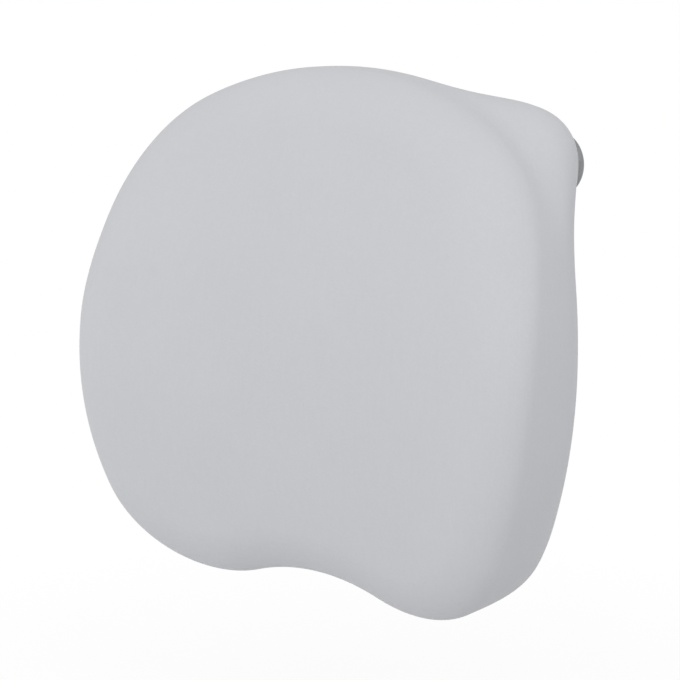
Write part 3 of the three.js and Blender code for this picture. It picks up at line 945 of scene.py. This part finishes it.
class CupSockets(bpy.types.Operator):
    """Builds the four sockets that the cups clip into."""

    bl_idname = "bath_pillow.cup_sockets"
    bl_label = "Cup sockets"

    def execute(self, context):
        form, cup, finish = settings_of(context)
        material = plastic_finish("grey_socket_plastic", finish.socket, roughness=0.42)
        for place, seat in seats(form).items():
            made = piece("clip_socket_" + place, lathed(self.profile(form, cup), seat))
            smooth(made, SOCKET_CORNER)
            dress(made, material)
            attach(made, "pillow")
            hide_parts("socket_" + place)
        return {"FINISHED"}

    @staticmethod
    def profile(form, cup):
        """Closed end, barrel, flange, mouth with its lead-in and the chamber, with eased edges."""
        rear_y = rear_level(cup, form)
        chamber_back, chamber_front = chamber_levels(cup, form)
        flange_back, flange_front = flange_levels(cup, form)
        front = chamber_front - cup.socket_floor
        barrel = barrel_radius(cup, form)
        flange = barrel + cup.flange_width
        mouth = cup.neck_radius + form.run_gap
        chamber = cup.head_radius + form.run_gap
        corners = [
            (0, front),
            (barrel, front),
            (barrel, flange_front),
            (flange, flange_front),
            (flange, flange_back),
            (barrel, flange_back),
            (barrel, rear_y),
            (mouth + cup.socket_lead, rear_y),
            (mouth, rear_y - cup.socket_lead),
            (mouth, chamber_back),
            (chamber, chamber_back),
            (chamber, chamber_front),
            (0, chamber_front),
        ]
        return eased(corners, cup.edge_round)


class SuctionCups(bpy.types.Operator):
    """Builds the four soft suction cups."""

    bl_idname = "bath_pillow.suction_cups"
    bl_label = "Suction cups"

    def execute(self, context):
        form, cup, finish = settings_of(context)
        material = cup_finish(finish.cup)
        for place, seat in seats(form).items():
            made = piece("vinyl_cup_" + place, lathed(self.profile(form, cup), seat, CUP_STEPS))
            smooth(made, CUP_CORNER)
            dress(made, material)
            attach(made, "cup_" + place)
            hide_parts("suction_cup_" + place)
        return {"FINISHED"}

    @staticmethod
    def profile(form, cup):
        """Nosed head, neck, fillet, dome, rounded lip and hollow, joined by bends."""
        head_back, head_front = head_levels(cup, form)
        top = -cup.cup_height
        rim, lip = cup.cup_radius, cup.cup_radius - cup.cup_lip
        hollow = top + cup.cup_wall
        head, neck, fillet = cup.head_radius, cup.neck_radius, cup.neck_fillet
        under = head - SMALL_ROUND, head_back
        above = neck, head_back + SMALL_ROUND
        return np.concatenate(
            [
                [(0, head_front)],
                bend((cup.head_nose, head_front), (head, head_front), (head, head_back - RIM_ROUND)),
                bend((head, head_back - HEAD_ROUND), (head, head_back), under, CORNER_STEPS),
                bend((neck + SMALL_ROUND, head_back), (neck, head_back), above, CORNER_STEPS),
                bend((neck, top - fillet), (neck, top), (neck + fillet, top)),
                bend((neck + fillet, top), (lip, top), (rim, -cup.cup_lip_edge), DOME_STEPS)[1:],
                bend((rim, -RIM_ROUND), (rim, 0), (rim - RIM_ROUND, 0), RIM_STEPS),
                bend((lip + SMALL_ROUND, 0), (lip, 0), (lip, -SMALL_ROUND), CORNER_STEPS),
                bend((lip, -SMALL_ROUND), (lip, hollow), (0, hollow), DOME_STEPS)[1:],
            ]
        )


class Studio(bpy.types.Operator):
    """Sets the white floor, the soft light and the camera."""

    bl_idname = "bath_pillow.studio"
    bl_label = "Studio"

    def execute(self, context):
        finish = settings_of(context)[2]
        self.floor(finish)
        self.world(context.scene)
        self.lamps(context.scene)
        self.camera(context.scene)
        context.scene.view_settings.view_transform = "Standard"
        return {"FINISHED"}

    @staticmethod
    def floor(finish):
        """A round sheet a little under the pillow, which hangs on its wall: rings of a level disc."""
        level = CAD_BOX[0].z - FLOOR_DROP
        angle = np.linspace(0, 2 * np.pi, FLOOR_STEPS, endpoint=False)
        radius = np.geomspace(FLOOR_INNER, FLOOR_OUTER, FLOOR_RINGS)[::-1, None]
        x, y = radius * np.sin(angle), radius * np.cos(angle)
        rings = np.stack([x, y, np.full(x.shape, level)], axis=-1)
        count, steps = rings.shape[:2]
        points = np.concatenate([rings.reshape(-1, 3), [(0, 0, level)]])
        here = np.arange(count * steps).reshape(count, steps)
        beside = np.roll(here, -1, axis=1)
        quads = np.stack([here[:-1], here[1:], beside[1:], beside[:-1]], axis=-1).reshape(-1, 4)
        fan = np.stack([here[-1], np.full(steps, count * steps), beside[-1]], axis=-1)
        made = piece("studio_floor", turned_over((points, [*quads.tolist(), *fan.tolist()])))
        dress(made, floor_finish(finish.floor))

    @staticmethod
    def world(scene):
        """Soft light all round, more from the front, and white for the camera."""
        scene.world = bpy.data.worlds.new("white_studio")
        nodes = Finish(scene.world)

        def light(strength):
            values = {"Color": (1, 1, 1, 1), "Strength": strength}
            return nodes.node("ShaderNodeBackground", inputs=values)

        where = nodes.node("ShaderNodeTexCoord", output="Generated")
        front = nodes.along(where, FRONT_WAY).clipped()
        soft = nodes.mixed(front, light(SOFT_LIGHT), light(FRONT_LIGHT))
        shader = nodes.mixed(nodes.ray_is("Camera"), soft, light(1.0))
        nodes.node("ShaderNodeOutputWorld", inputs={"Surface": shader})

    @staticmethod
    def lamps(scene):
        """A soft lamp on the right, over the pillow's shoulder."""
        place, aim = Vector(LAMP_PLACE), Vector(LAMP_AIM)
        lamp = bpy.data.lights.new("shoulder_lamp", "AREA")
        lamp.shape = "DISK"
        lamp.size = LAMP_WIDTH
        lamp.energy = LAMP_WATTS
        made = bpy.data.objects.new("shoulder_lamp", lamp)
        made.location = place
        made.rotation_euler = (aim - place).to_track_quat("-Z", "Y").to_euler()
        made.visible_camera = False
        scene.collection.objects.link(made)

    @staticmethod
    def camera(scene):
        """A long lens from the front right, a little above, turned slightly clockwise."""
        azimuth, elevation, roll = map(math.radians, (CAMERA_TURN, CAMERA_RISE, CAMERA_ROLL))
        across, down = PICTURE_MIDDLE
        back = Vector(
            (
                math.sin(azimuth) * math.cos(elevation),
                -math.cos(azimuth) * math.cos(elevation),
                math.sin(elevation),
            )
        )
        right = Vector((math.cos(azimuth), math.sin(azimuth), 0))
        up = back.cross(right)
        turned = Matrix((right, up, back)).transposed() @ Matrix.Rotation(roll, 3, "Z")
        lens = bpy.data.cameras.new("long_lens")
        lens.sensor_width = SENSOR_WIDTH
        lens.lens = FOCAL_PIXELS / PICTURE_WIDTH * SENSOR_WIDTH
        lens.shift_x = (PICTURE_WIDTH / 2 - across) / PICTURE_WIDTH
        lens.shift_y = (down - PICTURE_WIDTH / 2) / PICTURE_WIDTH
        lens.clip_start = NEAREST
        made = bpy.data.objects.new("camera", lens)
        place = Vector(CAMERA_TARGET) + back * CAMERA_DISTANCE
        made.matrix_world = Matrix.Translation(place) @ turned.to_4x4()
        scene.collection.objects.link(made)
        scene.camera = made


OPERATORS = (MouldedSkin, FoamFilling, BackingPlate, CupSockets, SuctionCups, Studio)


class BathPillowPanel(bpy.types.Panel):
    """Lists the pieces of the bath pillow and the sizes behind them."""

    bl_idname = "VIEW3D_PT_bath_pillow"
    bl_label = "Bath Pillow"
    bl_space_type = "VIEW_3D"
    bl_region_type = "UI"
    bl_category = "Bath Pillow"

    def draw(self, context):
        for operator in OPERATORS:
            self.layout.operator(operator.bl_idname)
        for group in settings_of(context):
            box = self.layout.box()
            for name in group.bl_rna.properties.keys():
                if name not in ("rna_type", "name"):
                    box.prop(group, name)


CLASSES = (PillowForm, FittingForm, PillowFinish, *OPERATORS, BathPillowPanel)


def register():
    for cls in CLASSES:
        bpy.utils.register_class(cls)
    bpy.types.Scene.pillow_form = PointerProperty(type=PillowForm)
    bpy.types.Scene.fitting_form = PointerProperty(type=FittingForm)
    bpy.types.Scene.pillow_finish = PointerProperty(type=PillowFinish)


def unregister():
    del bpy.types.Scene.pillow_finish
    del bpy.types.Scene.fitting_form
    del bpy.types.Scene.pillow_form
    for cls in reversed(CLASSES):
        bpy.utils.unregister_class(cls)


def main():
    """Builds every piece and the studio."""
    register()
    bpy.ops.bath_pillow.moulded_skin()
    bpy.ops.bath_pillow.foam_filling()
    bpy.ops.bath_pillow.backing_plate()
    bpy.ops.bath_pillow.cup_sockets()
    bpy.ops.bath_pillow.suction_cups()
    bpy.ops.bath_pillow.studio()


if __name__ == "__main__":
    main()
